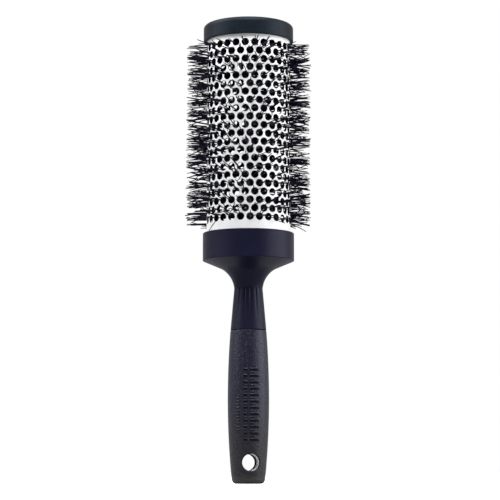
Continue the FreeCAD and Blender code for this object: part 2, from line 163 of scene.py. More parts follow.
# standard deviations of a clump, and of a filament in its clump
CLUMP_SIDE = 0.6 * MM
CLUMP_UP = 0.3 * MM
CLUMP_LEAN = 0.05
FILAMENT_SIDE = 0.35 * MM
FILAMENT_UP = 0.22 * MM
FILAMENT_ROOT = 0.5 * MM
FILAMENT_LENGTH = 0.35 * MM
FILAMENT_LEAN_UP = 0.06
FILAMENT_LEAN_SIDE = 0.055
FILAMENT_BEND_UP = 0.07
FILAMENT_BEND_SIDE = 0.06


# ---------------------------------------------------------------- mesh helpers


def mesh_object(name, vertices, faces, weld=1e-7, sharp_angle=40.0, values=None):
    """A smooth-shaded mesh object; coincident vertices are welded and creases stay sharp.

    values maps the name of a mesh attribute to one number for each vertex.
    """
    mesh = bpy.data.meshes.new(name)
    mesh.from_pydata([tuple(v) for v in vertices], [], [tuple(f) for f in faces])
    for layer_name, numbers in (values or {}).items():
        layer = mesh.attributes.new(layer_name, "FLOAT", "POINT")
        layer.data.foreach_set("value", np.array(numbers, dtype=np.float32))
    if weld:
        work = bmesh.new()
        work.from_mesh(mesh)
        bmesh.ops.remove_doubles(work, verts=work.verts, dist=weld)
        bmesh.ops.recalc_face_normals(work, faces=work.faces)
        work.to_mesh(mesh)
        work.free()
    mesh.shade_smooth()
    mesh.set_sharp_from_angle(angle=math.radians(sharp_angle))
    obj = bpy.data.objects.new(name, mesh)
    bpy.context.scene.collection.objects.link(obj)
    return obj


def finish_piece(obj, material, slot, *nodes):
    """Gives a piece its material; the slot is not used. The piece rides and stands for its CAD
    nodes.
    """
    obj.data.materials.append(material)
    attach(obj, "root")
    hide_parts(*nodes)


def rounded_outline(corners, longest=2.5 * MM):
    """Outline points from (radius, height, rounding) corners; long sides are divided evenly."""
    steps = 6  # sides of a rounded corner
    points = []
    last = len(corners) - 1
    for i, (r, z, rounding) in enumerate(corners):
        here = np.array([r, z])
        if rounding == 0 or i in (0, last):
            points.append(here)
            continue
        before = np.array(corners[i - 1][:2]) - here
        after = np.array(corners[i + 1][:2]) - here
        before /= np.linalg.norm(before)
        after /= np.linalg.norm(after)
        half = math.acos(max(-1.0, min(1.0, float(before @ after)))) / 2
        reach = rounding / math.tan(half)
        bisector = (before + after) / np.linalg.norm(before + after)
        centre = here + bisector * rounding / math.sin(half)
        start, end = here + before * reach, here + after * reach
        a0 = math.atan2(*(start - centre)[::-1])
        a1 = math.atan2(*(end - centre)[::-1])
        turn = (a1 - a0 + math.pi) % (2 * math.pi) - math.pi
        support = 0.25 * rounding
        points.append(start + before * support)
        for k in range(steps + 1):
            angle = a0 + turn * k / steps
            points.append(centre + rounding * np.array([math.cos(angle), math.sin(angle)]))
        points.append(end + after * support)
    divided = [points[0]]
    for point in points[1:]:
        gap = np.linalg.norm(point - divided[-1])
        if gap < 1e-8:
            continue
        count = max(1, math.ceil(gap / longest))
        begin = divided[-1]
        divided += [begin + (point - begin) * (k + 1) / count for k in range(count)]
    return np.array(divided)


def arc_points(start, end, radius, bulge, count):
    """Points of an arc from start to end, both left out; bulge 1 is to the right of the way."""
    start, end = np.array(start), np.array(end)
    chord = end - start
    length = np.linalg.norm(chord)
    right = np.array([chord[1], -chord[0]]) / length
    rise = math.sqrt(radius**2 - length**2 / 4)
    centre = (start + end) / 2 - right * rise * bulge
    a0 = math.atan2(*(start - centre)[::-1])
    a1 = math.atan2(*(end - centre)[::-1])
    turn = (a1 - a0 + math.pi) % (2 * math.pi) - math.pi
    angles = a0 + turn * np.arange(1, count) / count
    return [(centre[0] + radius * math.cos(a), centre[1] + radius * math.sin(a)) for a in angles]


def grid_faces(rows, columns, skip=None):
    """Quads of a grid that is closed round its columns; skip(row, column) leaves quads out."""
    faces = []
    for i in range(rows - 1):
        below = i * columns
        above = below + columns
        for j in range(columns):
            if skip and skip(i, j):
                continue
            k = (j + 1) % columns
            faces.append((below + j, below + k, above + k, above + j))
    return faces


def turned(points, angles, offset=None):
    """Vertices of an outline turned about Z; offset(angle, height) is added to the radius."""
    radius = points[:, :1] * np.ones(len(angles))
    height = points[:, 1:] * np.ones(len(angles))
    if offset is not None:
        radius = radius + offset(angles[None, :], height) * (radius > 1e-6)
    return np.stack([radius * np.cos(angles), radius * np.sin(angles), height], axis=-1)


def lathe(name, points, segments, offset=None):
    """A turned piece from an outline in (radius, height)."""
    angles = np.linspace(0, 2 * math.pi, segments, endpoint=False)
    vertices = turned(points, angles, offset).reshape(-1, 3)
    return mesh_object(name, vertices, grid_faces(len(points), segments))


# ---------------------------------------------------------------- materials

# colours are linear, in pairs from the darker to the lighter of a surface
NAVY_COLOURS = (0.0032, 0.0036, 0.0132), (0.0048, 0.0052, 0.0168)
CAP_COLOURS = (0.0033, 0.0063, 0.0098), (0.0050, 0.0087, 0.0130)
INNER_COLOURS = (0.012, 0.012, 0.014), (0.018, 0.018, 0.020)
NAVY_TINT = (0.84, 0.83, 1.0)
TEAL_TINT = (0.80, 0.90, 0.97)
WARM_TINT = (0.92, 0.90, 0.88)
SHEEN_TINT = (0.75, 0.76, 1.0)

RUBBER_COOL = (0.0018, 0.0026, 0.0085)
RUBBER_WARM = (0.0070, 0.0070, 0.0072)
RUBBER_MOTTLE = (0.0055, 0.0060, 0.0140)
RUBBER_DUST = (0.0250, 0.0250, 0.0390)
# painted reflection of the floor on the grip's lowest few millimetres
RUBBER_PAINTED_FLOOR_REFLECTION = (0.0330, 0.0325, 0.0250)
# colour of the raised marks, also used as painted shade on the hanging hole's mouths
RUBBER_MARK = (0.0016, 0.0018, 0.0045)
# painted light and painted shade of the hanging hole's wall: pale in its front half, near black
# behind
BORE_PAINTED_LIGHT = (0.8500, 0.8500, 0.8400)
BORE_PAINTED_SHADE = (0.0010, 0.0010, 0.0012)

CERAMIC_COLOURS = (0.850, 0.857, 0.836), (0.888, 0.891, 0.871)
CERAMIC_SPECK = (0.600, 0.625, 0.610)
# painted shade: the uncoated inside of the tube and the vent walls, painted near black
INSIDE_PAINTED_SHADE = (0.001, 0.001, 0.001)
NYLON_COLOURS = (0.0006, 0.0006, 0.0026), (0.0028, 0.0025, 0.0110)
# painted sheen: paler violet-grey patches on the bristles
NYLON_PAINTED_SHEEN = (0.0160, 0.0150, 0.0300)
STEEL_COLOURS = (0.07, 0.07, 0.075), (0.14, 0.14, 0.145)
FLOOR_COLOURS = (0.86, 0.86, 0.86), (0.90, 0.90, 0.90)
FLOOR_UNSEEN = (0.25, 0.25, 0.25)  # what the brush mirrors of the floor


def material_base(name):
    """A Principled material, its node tree, and the shader node."""
    material = bpy.data.materials.new(name)
    material.use_nodes = True
    tree = material.node_tree
    shader = tree.nodes["Principled BSDF"]
    return material, tree, shader


def add_node(tree, kind, inputs=None, **settings):
    """A node with its settings; an input is a value, or another node's output to link to it."""
    node = tree.nodes.new(kind)
    for key, value in settings.items():
        setattr(node, key, value)
    for key, value in (inputs or {}).items():
        if isinstance(value, bpy.types.NodeSocket):
            tree.links.new(value, node.inputs[key])
        else:
            node.inputs[key].default_value = value
    return node


def object_position(tree):
    return add_node(tree, "ShaderNodeTexCoord").outputs["Object"]


def noise(tree, position, scale, detail=3.0, roughness=0.55):
    """Noise from 0 to 1; scale is the number of features in a metre."""
    node = add_node(
        tree,
        "ShaderNodeTexNoise",
        {"Vector": position, "Scale": scale, "Detail": detail, "Roughness": roughness},
    )
    return node.outputs["Fac"]


def spread(tree, value, low, high, to_low, to_high):
    """Maps a value from one range to another, clamped."""
    node = add_node(
        tree,
        "ShaderNodeMapRange",
        {"Value": value, "From Min": low, "From Max": high, "To Min": to_low, "To Max": to_high},
    )
    return node.outputs["Result"]


def mix_colour(tree, factor, first, second):
    """Mixes two colours; each is a colour or a socket."""
    node = add_node(tree, "ShaderNodeMix", data_type="RGBA")
    tree.links.new(factor, node.inputs["Factor"])
    for socket, value in ((node.inputs[6], first), (node.inputs[7], second)):
        if isinstance(value, bpy.types.NodeSocket):
            tree.links.new(value, socket)
        else:
            socket.default_value = (*value, 1.0)
    return node.outputs[2]


def add_bump(tree, shader, height, strength, distance, below=None):
    """Bumps the shader's normal, on top of another bump where one is given."""
    node = add_node(
        tree, "ShaderNodeBump", {"Strength": strength, "Distance": distance, "Height": height}
    )
    if below is not None:
        tree.links.new(below, node.inputs["Normal"])
    tree.links.new(node.outputs["Normal"], shader.inputs["Normal"])
    return node.outputs["Normal"]


def moulded_plastic(name, colours, rough_low, rough_high, tint, grain=0.05, specular=0.16):
    """Satin moulded plastic: slight mottling, a fine moulding grain and faint handling marks."""
    material, tree, shader = material_base(name)
    position = object_position(tree)
    mottle = noise(tree, position, 180, detail=4.0)
    colour = mix_colour(tree, spread(tree, mottle, 0.3, 0.7, 0, 1), *colours)
    tree.links.new(colour, shader.inputs["Base Color"])
    marks = noise(tree, position, 420, detail=5.0, roughness=0.7)
    rough = spread(tree, marks, 0.3, 0.7, rough_low, rough_high)
    tree.links.new(rough, shader.inputs["Roughness"])
    shader.inputs["Specular IOR Level"].default_value = specular
    shader.inputs["Specular Tint"].default_value = (*tint, 1.0)
    fine = noise(tree, position, 4200, detail=2.0)
    coarse = noise(tree, position, 520, detail=2.0)
    first = add_bump(tree, shader, fine, grain * 4, 0.02 * MM)
    add_bump(tree, shader, coarse, grain, 0.1 * MM, below=first)
    return material


def soft_touch_rubber():
    """Soft-touch grip: pebbled skin, smooth dark marks, painted shade on the hanging hole's mouths,
    a hole wall painted pale in front and dark behind as painted light and shade, and a painted
    reflection of the floor at its foot.
    """
    material, tree, shader = material_base("soft_touch_rubber")
    position = object_position(tree)
    parts = add_node(tree, "ShaderNodeSeparateXYZ", {"Vector": position})
    height = parts.outputs["Z"]
    warm = spread(tree, height, 10 * MM, 50 * MM, 1.0, 0.0)
    body = mix_colour(tree, warm, RUBBER_COOL, RUBBER_WARM)
    mottle = spread(tree, noise(tree, position, 240, detail=4.0), 0.35, 0.7, 0.0, 0.5)
    colour = mix_colour(tree, mottle, body, RUBBER_MOTTLE)
    dust = spread(tree, noise(tree, position, 1150, detail=3.0), 0.56, 0.70, 0.0, 0.9)
    colour = mix_colour(tree, dust, colour, RUBBER_DUST)
    # painted reflection: the lowest 4.5 mm of the grip are painted paler and warmer for the floor
    # they mirror
    painted_floor_reflection = spread(tree, height, 0.3 * MM, 4.5 * MM, 1.0, 0.0)
    colour = mix_colour(tree, painted_floor_reflection, colour, RUBBER_PAINTED_FLOOR_REFLECTION)
    # the raised marks take their own dark colour; the hanging hole's rounded mouths take it too, as
    # painted shade
    mark_and_lip_shade = add_node(tree, "ShaderNodeAttribute", attribute_name="raised_mark_and_lip_shade").outputs["Fac"]
    colour = mix_colour(tree, mark_and_lip_shade, colour, RUBBER_MARK)
    # painted light and shade: the hanging hole's wall is painted pale in its front half and near
    # black behind the middle
    bore = add_node(tree, "ShaderNodeAttribute", attribute_name="bore_wall").outputs["Fac"]
    depth = spread(tree, parts.outputs["Y"], 0.2 * MM, 0.8 * MM, 0.0, 1.0)
    wall = mix_colour(tree, depth, BORE_PAINTED_LIGHT, BORE_PAINTED_SHADE)
    colour = mix_colour(tree, bore, colour, wall)
    tree.links.new(colour, shader.inputs["Base Color"])
    skin = spread(tree, noise(tree, position, 900, detail=4.0), 0.3, 0.7, 0.29, 0.43)
    smoother = spread(tree, mark_and_lip_shade, 0, 1, 1.0, 0.6)
    rough = add_node(tree, "ShaderNodeMath", {0: skin, 1: smoother}, operation="MULTIPLY")
    tree.links.new(rough.outputs[0], shader.inputs["Roughness"])
    dull_mark = spread(tree, mark_and_lip_shade, 0, 1, 0.0, 0.65)
    dulled = add_node(tree, "ShaderNodeMath", {0: bore, 1: dull_mark}, operation="MAXIMUM")
    kept = spread(tree, dulled.outputs[0], 0, 1, 1.0, 0.0)
    facing = add_node(tree, "ShaderNodeLayerWeight", {"Blend": 0.5}).outputs["Facing"]
    satin = spread(tree, facing, 0.60, 0.95, 0.36, 0.0)
    gloss = add_node(tree, "ShaderNodeMath", {0: satin, 1: kept}, operation="MULTIPLY")
    tree.links.new(gloss.outputs[0], shader.inputs["Specular IOR Level"])
    tree.links.new(mix_colour(tree, warm, NAVY_TINT, WARM_TINT), shader.inputs["Specular Tint"])
    shader.inputs["Sheen Weight"].default_value = 0.02
    shader.inputs["Sheen Roughness"].default_value = 0.45
    shader.inputs["Sheen Tint"].default_value = (*SHEEN_TINT, 1.0)
    pebble = add_node(
        tree, "ShaderNodeTexVoronoi", {"Vector": position, "Scale": 1500.0}, feature="SMOOTH_F1"
    ).outputs["Distance"]
    calm = spread(tree, mark_and_lip_shade, 0, 1, 1.0, 0.15)
    relief = add_node(tree, "ShaderNodeMath", {0: pebble, 1: calm}, operation="MULTIPLY")
    first = add_bump(tree, shader, relief.outputs[0], 0.60, 0.30 * MM)
    add_bump(tree, shader, noise(tree, position, 3000, detail=3.0), 0.3, 0.08 * MM, below=first)
    return material


def ceramic_coating():
    """White ceramic coat over the aluminium: eggshell sheen, fine speckle, and the uncoated inside
    painted near black as painted shade.
    """
    material, tree, shader = material_base("ceramic_coating")
    position = object_position(tree)
    parts = add_node(tree, "ShaderNodeSeparateXYZ", {"Vector": position}).outputs
    flat = add_node(tree, "ShaderNodeCombineXYZ", {"X": parts["X"], "Y": parts["Y"]})
    radius = add_node(
        tree, "ShaderNodeVectorMath", {"Vector": flat.outputs["Vector"]}, operation="LENGTH"
    ).outputs["Value"]
    mottle = spread(tree, noise(tree, position, 320, detail=4.0), 0.3, 0.7, 0.0, 1.0)
    coat = mix_colour(tree, mottle, *CERAMIC_COLOURS)
    speckle = noise(tree, position, 2300, detail=3.0, roughness=0.7)
    coat = mix_colour(tree, spread(tree, speckle, 0.60, 0.70, 0.0, 0.45), coat, CERAMIC_SPECK)
    # painted shade: below the coat's outer skin the tube, inside and vent walls, is painted near
    # black, with no specular reflection
    coated = spread(tree, radius, BARREL_RADIUS - 0.05 * MM, BARREL_RADIUS - 0.015 * MM, 0.0, 1.0)
    tree.links.new(mix_colour(tree, coated, INSIDE_PAINTED_SHADE, coat), shader.inputs["Base Color"])
    tree.links.new(spread(tree, coated, 0, 1, 0.0, 0.5), shader.inputs["Specular IOR Level"])
    glaze = spread(tree, noise(tree, position, 700, detail=3.0), 0.3, 0.7, 0.34, 0.48)
    tree.links.new(glaze, shader.inputs["Roughness"])
    first = add_bump(tree, shader, noise(tree, position, 2300, detail=3.0), 0.18, 0.05 * MM)
    add_bump(tree, shader, noise(tree, position, 260, detail=2.0), 0.10, 0.15 * MM, below=first)
    return material


def nylon_filament():
    """Black nylon: dark violet-black, satin, with paler patches of painted sheen."""
    material, tree, shader = material_base("nylon_filament")
    position = object_position(tree)
    streak = spread(tree, noise(tree, position, 700, detail=2.0), 0.3, 0.7, 0.0, 1.0)
    colour = mix_colour(tree, streak, *NYLON_COLOURS)
    # painted sheen: patches of the bristles are painted paler violet-grey for their highlights
    painted_sheen = spread(tree, noise(tree, position, 300, detail=3.0), 0.50, 0.62, 0.0, 1.0)
    colour = mix_colour(tree, painted_sheen, colour, NYLON_PAINTED_SHEEN)
    tree.links.new(colour, shader.inputs["Base Color"])
    rough = spread(tree, noise(tree, position, 1500, detail=2.0), 0.3, 0.7, 0.30, 0.46)
    tree.links.new(rough, shader.inputs["Roughness"])
    shader.inputs["Specular IOR Level"].default_value = 0.04
    return material


def drawn_steel():
    """Galvanised steel wire with drawing lines."""
    material, tree, shader = material_base("drawn_steel")
    position = object_position(tree)
    tone = spread(tree, noise(tree, position, 900, detail=4.0), 0.3, 0.7, 0.0, 1.0)
    colour = mix_colour(tree, tone, *STEEL_COLOURS)
    tree.links.new(colour, shader.inputs["Base Color"])
    shader.inputs["Metallic"].default_value = 1.0
    rough = spread(tree, noise(tree, position, 2600, detail=3.0), 0.3, 0.7, 0.28, 0.46)
    tree.links.new(rough, shader.inputs["Roughness"])
    add_bump(tree, shader, noise(tree, position, 3000, detail=2.0), 0.2, 0.03 * MM)
    return material


# ---------------------------------------------------------------- barrel


def cell_loop():
    """Directions round one vent, and the (angle, height) border of its cell, both anticlockwise."""
    half_width, half_height = VENT_STEP / 2, ROW_PITCH / 2
    along, beside = CELL_ALONG, CELL_BESIDE
    border = []
    for k in range(along):
        border.append((half_width * (1 - 2 * k / along), half_height))
    for k in range(beside):
        border.append((-half_width, half_height * (1 - 2 * k / beside)))
    for k in range(along):
        border.append((-half_width * (1 - 2 * k / along), -half_height))
    for k in range(beside):
        border.append((half_width, -half_height * (1 - 2 * k / beside)))
    corner = math.atan2(half_height, half_width * BARREL_RADIUS)
    directions = []
    for start, sweep, count in (
        (corner, math.pi - 2 * corner, along),
        (math.pi - corner, 2 * corner, beside),
        (math.pi + corner, math.pi - 2 * corner, along),
        (-corner, 2 * corner, beside),
    ):
        directions += [start + sweep * k / count for k in range(count)]
    return directions, border


def make_barrel():
    """Perforated tube: each vent is a welded cell with a softly rounded outer rim."""
    outside, inside = BARREL_RADIUS, BARREL_RADIUS - BARREL_WALL
    directions, border = cell_loop()
    count = len(directions)

    def ring(depth_radius, vent_radius):
        """(angle, height) offsets of a circle of that vent radius on a cylinder of that radius."""
        return [
            (math.asin(vent_radius * math.cos(a) / depth_radius), vent_radius * math.sin(a))
            for a in directions
        ]

    outer_circle = ring(outside, VENT_RADIUS + VENT_RIM)
    halfway = [
        ((c[0] + b[0]) / 2, (c[1] + b[1]) / 2) for c, b in zip(outer_circle, border)
    ]
    rings = [
        (outside, border),
        (outside, halfway),
        (outside, outer_circle),
        (outside - VENT_RIM * 0.3, ring(outside, VENT_RADIUS + VENT_RIM * 0.3)),
        (outside - VENT_RIM, ring(outside - VENT_RIM, VENT_RADIUS)),
        (inside, ring(inside, VENT_RADIUS)),
        (inside, border),
    ]
    vertices, faces = [], []
    for row, height in enumerate(ROW_HEIGHTS):
        for vent in range(VENTS):
            middle = VENT_STEP * (vent + 0.5 * (row % 2))
            base = len(vertices)
            for radius, loop in rings:
                for turn, up in loop:
                    across = radius * math.cos(middle + turn), radius * math.sin(middle + turn)
                    vertices.append((*across, height + up))
            for r in range(len(rings) - 1):
                for k in range(count):
                    n = (k + 1) % count
                    a, b = base + r * count, base + (r + 1) * count
                    faces.append((a + k, b + k, b + n, a + n))

    columns = VENTS * CELL_ALONG
    for row, edge, end in ((0, 0.5, BARREL_HIGH.z), (len(ROW_HEIGHTS) - 1, -0.5, BARREL_LOW.z)):
        start = ROW_HEIGHTS[row] + edge * ROW_PITCH
        phase = VENT_STEP * (0.5 * (row % 2) + 0.5)
        outline = [(outside, start + (end - start) * k / 4) for k in range(5)]
        outline += [(inside, end), (inside, start)]
        angles = phase + np.linspace(0, 2 * math.pi, columns, endpoint=False)
        base = len(vertices)
        strip = turned(np.array(outline), angles).reshape(-1, 3)
        vertices += [tuple(v) for v in strip]
        faces += [tuple(base + i for i in face) for face in grid_faces(len(outline), columns)]
    return mesh_object("perforated_barrel", vertices, faces, weld=2e-6, sharp_angle=50)


# ---------------------------------------------------------------- bristles


def tube(path, radius, sides=5):
    """Vertices and faces of one filament along a path, with a slightly domed tip."""
    path = [Vector(p) for p in path]
    vertices, faces = [], []
    tip = path[-1] + (path[-1] - path[-2]).normalized() * radius * TIP_HEIGHT
    for i, point in enumerate(path):
        before = path[max(i - 1, 0)]
        after = path[min(i + 1, len(path) - 1)]
        along = (after - before).normalized()
        side = along.orthogonal().normalized()
        other = along.cross(side)
        size = radius * (TIP_RADIUS if i == len(path) - 1 else 1.0)
        for k in range(sides):
            angle = 2 * math.pi * k / sides
            vertices.append(point + (side * math.cos(angle) + other * math.sin(angle)) * size)
    for i in range(len(path) - 1):
        for k in range(sides):
            n = (k + 1) % sides
            faces.append((i * sides + k, i * sides + n, (i + 1) * sides + n, (i + 1) * sides + k))
    vertices.append(tip)
    top = (len(path) - 1) * sides
    for k in range(sides):
        faces.append((top + k, top + (k + 1) % sides, len(vertices) - 1))
    faces.append(tuple(reversed(range(sides))))
    return vertices, faces


def root_height(angle, height):
    """Where the twisted core lets bristles out at that angle, nearest to that height."""
    base = CORE_START_Z - CORE_TWIST * (angle - CORE_START_ANGLE) / (2 * math.pi)
    step = CORE_TWIST / 2
    return base + round((height - base) / step) * step


def filament_path(rng, angle, height, clump):
    """A bristle from the twisted core, through its vent and out, bent a little on the way."""
    outward = Vector((math.cos(angle), math.sin(angle), 0))
    side = Vector((-math.sin(angle), math.cos(angle), 0))
    up = Vector((0, 0, 1))
    loose = LOOSE_FACTOR if rng.random() < LOOSE_SHARE else 1.0
    room = VENT_RADIUS - BRISTLE_RADIUS * 1.5
    sheet = root_height(angle, height)
    drawn = max(-VENT_DRAW, min(VENT_DRAW, sheet - height))
    at_side = clump["side"] + rng.gauss(0, FILAMENT_SIDE * loose)
    at_up = drawn + clump["up"] + rng.gauss(0, FILAMENT_UP * loose)
    inside = min(1.0, room / max(1e-9, math.hypot(at_side, at_up)))
    at_side, at_up = at_side * inside, at_up * inside
    root_z = sheet + rng.gauss(0, FILAMENT_ROOT)
    root = outward * CORE_RADIUS + side * rng.uniform(*ROOT_SPREAD) * MM + up * root_z
    wall = BARREL_RADIUS - BARREL_WALL / 2
    vent = outward * wall + side * at_side + up * (height + at_up)
    slope = (vent.z - root_z) / wall
    length = BRISTLE_REACH - wall + rng.gauss(LENGTH_EXTRA, FILAMENT_LENGTH)
    lean_up = clump["lean_up"] + SLOPE_KEPT * slope + rng.gauss(0, FILAMENT_LEAN_UP * loose)
    lean_side = clump["lean_side"] + at_side / wall + rng.gauss(0, FILAMENT_LEAN_SIDE * loose)
    bend_up = rng.gauss(0, FILAMENT_BEND_UP * loose)
    bend_side = rng.gauss(0, FILAMENT_BEND_SIDE * loose)
    if rng.random() < BENT_SHARE:
        bend_up += rng.choice((-1, 1)) * rng.uniform(*BENT_UP)
        bend_side += rng.uniform(*BENT_SIDE)
        length *= rng.uniform(*BENT_LENGTH)
    path = [root, root.lerp(vent, 0.6), vent]
    foreshortened = 1 - 0.25 * (bend_up**2 + bend_side**2)
    for share in (0.35, 0.7, 1.0):
        out = length * share
        shift = side * (out * (lean_side + bend_side * share))
        shift += up * (out * (lean_up + bend_up * share))
        path.append(vent + outward * out * foreshortened + shift)
    return path


def make_bristle_row(row, rng):
    """All the bristles of one row of vents as one piece."""
    vertices, faces = [], []
    for vent in range(VENTS):
        angle = VENT_STEP * (vent + 0.5 * (row % 2))
        clump = {
            "side": rng.gauss(0, CLUMP_SIDE),
            "up": rng.gauss(0, CLUMP_UP),
            "lean_side": rng.gauss(0, CLUMP_LEAN),
            "lean_up": rng.gauss(0, CLUMP_LEAN),
        }
        for _ in range(rng.choice(BRISTLES_IN_A_VENT)):
            path = filament_path(rng, angle, ROW_HEIGHTS[row], clump)
            radius = BRISTLE_RADIUS * rng.uniform(*THICKNESS_SPREAD)
            more_vertices, more_faces = tube(path, radius)
            base = len(vertices)
            vertices += more_vertices
            faces += [tuple(base + i for i in face) for face in more_faces]
    return mesh_object(f"bristles_{row + 1:02d}", vertices, faces, weld=0, sharp_angle=60)


# ---------------------------------------------------------------- cap, collar and neck


def make_end_cap():
    """Moulded cap: rounded top edge, eased rim, ring inside the barrel and socket for the core."""
    cup = BARREL_RADIUS + FIT_GAP
    ring = BARREL_RADIUS - BARREL_WALL - FIT_GAP
    underside = CAP_TOP_Z - CAP_WALL
    seat = BARREL_HIGH.z + FIT_GAP
    corners = [
        (0, CAP_TOP_Z, 0),
        (CAP_RADIUS, CAP_TOP_Z, CAP_ROUND),
        (CAP_RADIUS, CAP_RIM_Z, 0.3 * MM),
        (cup, CAP_RIM_Z, 0.15 * MM),
        (cup, seat, 0),
        (ring, seat, 0),
        (ring, CAP_RIM_Z - SPIGOT_WALL, 0.2 * MM),
        (ring - SPIGOT_WALL, CAP_RIM_Z - SPIGOT_WALL, 0.2 * MM),
        (ring - SPIGOT_WALL, underside, 0.4 * MM),
        (BOSS_RADIUS, underside, 0.4 * MM),
        (BOSS_RADIUS, underside - BOSS_HEIGHT, 0.3 * MM),
        (CORE_SOCKET_RADIUS, underside - BOSS_HEIGHT, 0.2 * MM),
        (CORE_SOCKET_RADIUS, CORE_SOCKET_TOP_Z, 0),
        (0, CORE_SOCKET_TOP_Z, 0),
    ]
    return lathe("cap", rounded_outline(corners), segments=160)


def make_collar():
    """Cup round the barrel's foot and the funnel that sweeps down to the neck."""
    cup = BARREL_RADIUS + FIT_GAP
    bore = SPIGOT_RADIUS + FIT_GAP
    foot = KINK_Z + SEAM_GAP
    hollow = COLLAR_RADIUS - COLLAR_WALL
    hollow_floor = SHOULDER_Z + COLLAR_WALL
    boss = bore + SPIGOT_WALL * 2
    start, end = (KINK_RADIUS, KINK_Z), (SHOULDER_RADIUS, SHOULDER_Z)
    funnel = [(r, z, 0) for r, z in arc_points(start, end, FUNNEL_CURVE, -1, 14)]
    corners = [
        (bore, foot, 0),
        (KINK_RADIUS, foot, 0),
        *funnel,
        (SHOULDER_RADIUS, SHOULDER_Z, 0),
        (COLLAR_RADIUS, COLLAR_EDGE_Z, 0.35 * MM),
        (COLLAR_RADIUS, COLLAR_LIP_Z, COLLAR_LIP_ROUND),
        (cup, COLLAR_LIP_Z, 0.25 * MM),
        (cup, COLLAR_FLOOR_Z, 0),
        (hollow, COLLAR_FLOOR_Z, 0),
        (hollow, COLLAR_EDGE_Z + SPIGOT_WALL, 0.5 * MM),
        (SHOULDER_RADIUS, hollow_floor, 0.5 * MM),
        (boss, hollow_floor, 0.5 * MM),
        (boss, SPIGOT_TOP_Z, 0.2 * MM),
        (bore, SPIGOT_TOP_Z, 0.2 * MM),
        (bore, foot, 0),
    ]
    return lathe("collar", rounded_outline(corners), segments=160)


def neck_flutes(angle, height):
    """Shallow rounded flutes that start under the kink and run out towards the grip."""
    across, along = FLUTE_POWERS
    wave = np.cos(FLUTES * angle)
    groove = np.clip((wave - FLUTE_LAND) / (1 - FLUTE_LAND), 0, 1) ** across
    fade = np.clip((height - FLUTE_FADE_Z) / (KINK_Z - FLUTE_FADE_Z), 0, 1) ** along
    inside = (height > FLUTE_FADE_Z) & (height < KINK_Z - FLUTE_STOP)
    return -FLUTE_DEPTH * groove * fade * inside


def make_handle_core():
    """Tang, fluted neck and spigot in one moulding."""
    corners = [
        (0, TANG_FOOT_Z, 0),
        (TANG_RADIUS, TANG_FOOT_Z, 0.5 * MM),
        (TANG_RADIUS, NECK_FOOT_Z, 0),
        (NECK_FOOT_RADIUS, NECK_FOOT_Z, 0.12 * MM),
        (KINK_RADIUS, KINK_Z, 0.08 * MM),
        (SPIGOT_RADIUS, KINK_Z, 0),
        (SPIGOT_RADIUS, SPIGOT_TOP_Z, 0.5 * MM),
        (0, SPIGOT_TOP_Z, 0),
    ]
    outline = rounded_outline(corners, longest=0.8 * MM)
    return lathe("handle_neck", outline, segments=FLUTES * 14, offset=neck_flutes)


# ---------------------------------------------------------------- grip


def grip_radius(height):
    """Radius of the grip's side: two long arcs that meet at the belly."""
    offset = height - GRIP_BELLY_Z
    curve = np.where(offset < 0, GRIP_LOWER_CURVE, GRIP_UPPER_CURVE)
    return GRIP_BELLY_RADIUS - (curve - np.sqrt(curve**2 - offset**2))


def soft_step(distance, edge):
    """1 inside, 0 outside, with a rounded edge of that width."""
    t = np.clip(0.5 - distance / edge, 0, 1)
    return t * t * (3 - 2 * t)


def raised_marks(angle, height):
    """Height from 0 to 1 of the tactile marks: a ladder of ribs with finer ticks between them."""
    from_front = (np.degrees(angle) + 270.0) % 360.0 - 180.0
    total = np.zeros(np.broadcast(angle, height).shape)
    for first, last, low, pitch, count, thickness in MARK_COLUMNS:
        nearest = np.clip(np.round((height - low) / pitch), 0, count - 1) * pitch + low
        along = np.abs(height - nearest) - thickness / 2
        across = np.abs(from_front - (first + last) / 2) - (last - first) / 2
        across = np.radians(across) * GRIP_BELLY_RADIUS
        total = np.maximum(total, soft_step(np.maximum(along, across), MARK_EDGE))
    return total


def grip_angles():
    """Column angles, finer over the front where the marks are; the back repeats the front."""
    edge = np.arange(63.75, 90.0, 3.75)
    front = np.concatenate([[-90.0], -edge[::-1], np.arange(-60.0, 60.01, 1.5), edge])
    return np.radians(np.concatenate([front, front + 180.0]) - 90.0)


def grip_outline():
    """Outline of the sleeve in (radius, height), from the middle of its flat end to its bore."""
    foot = float(grip_radius(GRIP_END_ROUND))
    top = float(grip_radius(GRIP_TOP_Z - GRIP_TOP_ROUND))
    flat = foot - GRIP_END_ROUND
    points = [(0, 0)] + [(flat * k / 4, 0) for k in range(1, 5)]
    for k in range(1, 9):
        angle = math.pi / 2 * k / 9
        across = flat + GRIP_END_ROUND * math.sin(angle)
        points.append((across, GRIP_END_ROUND * (1 - math.cos(angle))))
    # heights in millimetres, closest where the marks are
    sides = [
        *np.arange(2.4, 20.01, 0.55),
        *np.arange(20.4, 58.9, 0.16),
        *np.arange(59.4, 76.4, 0.6),
    ]
    points += [(float(grip_radius(z * MM)), z * MM) for z in sides]
    for k in range(6):
        angle = math.pi / 2 * k / 5
        across = top - GRIP_TOP_ROUND * (1 - math.cos(angle))
        points.append((across, GRIP_TOP_Z - GRIP_TOP_ROUND * (1 - math.sin(angle))))
    bore = TANG_RADIUS + FIT_GAP
    points += [(bore + 1.5 * MM, GRIP_TOP_Z), (bore, GRIP_TOP_Z)]
    points += [(bore, 58 * MM), (bore, 38 * MM), (bore, TANG_FOOT_Z), (0, TANG_FOOT_Z)]
    return np.array(points)


def patch_window(points, angles):
    """First and last row and column of the grid that the patch round the hole replaces."""
    low, high = HANG_WINDOW
    rows = [i for i, (r, z) in enumerate(points) if r > SKIN_RADIUS and low <= z <= high]
    from_front = (np.degrees(angles) + 90.0 + 180.0) % 360.0 - 180.0
    columns = [j for j, a in enumerate(from_front) if abs(a) <= HANG_WINDOW_ANGLE]
    return rows[0], rows[-1], columns[0], columns[-1]


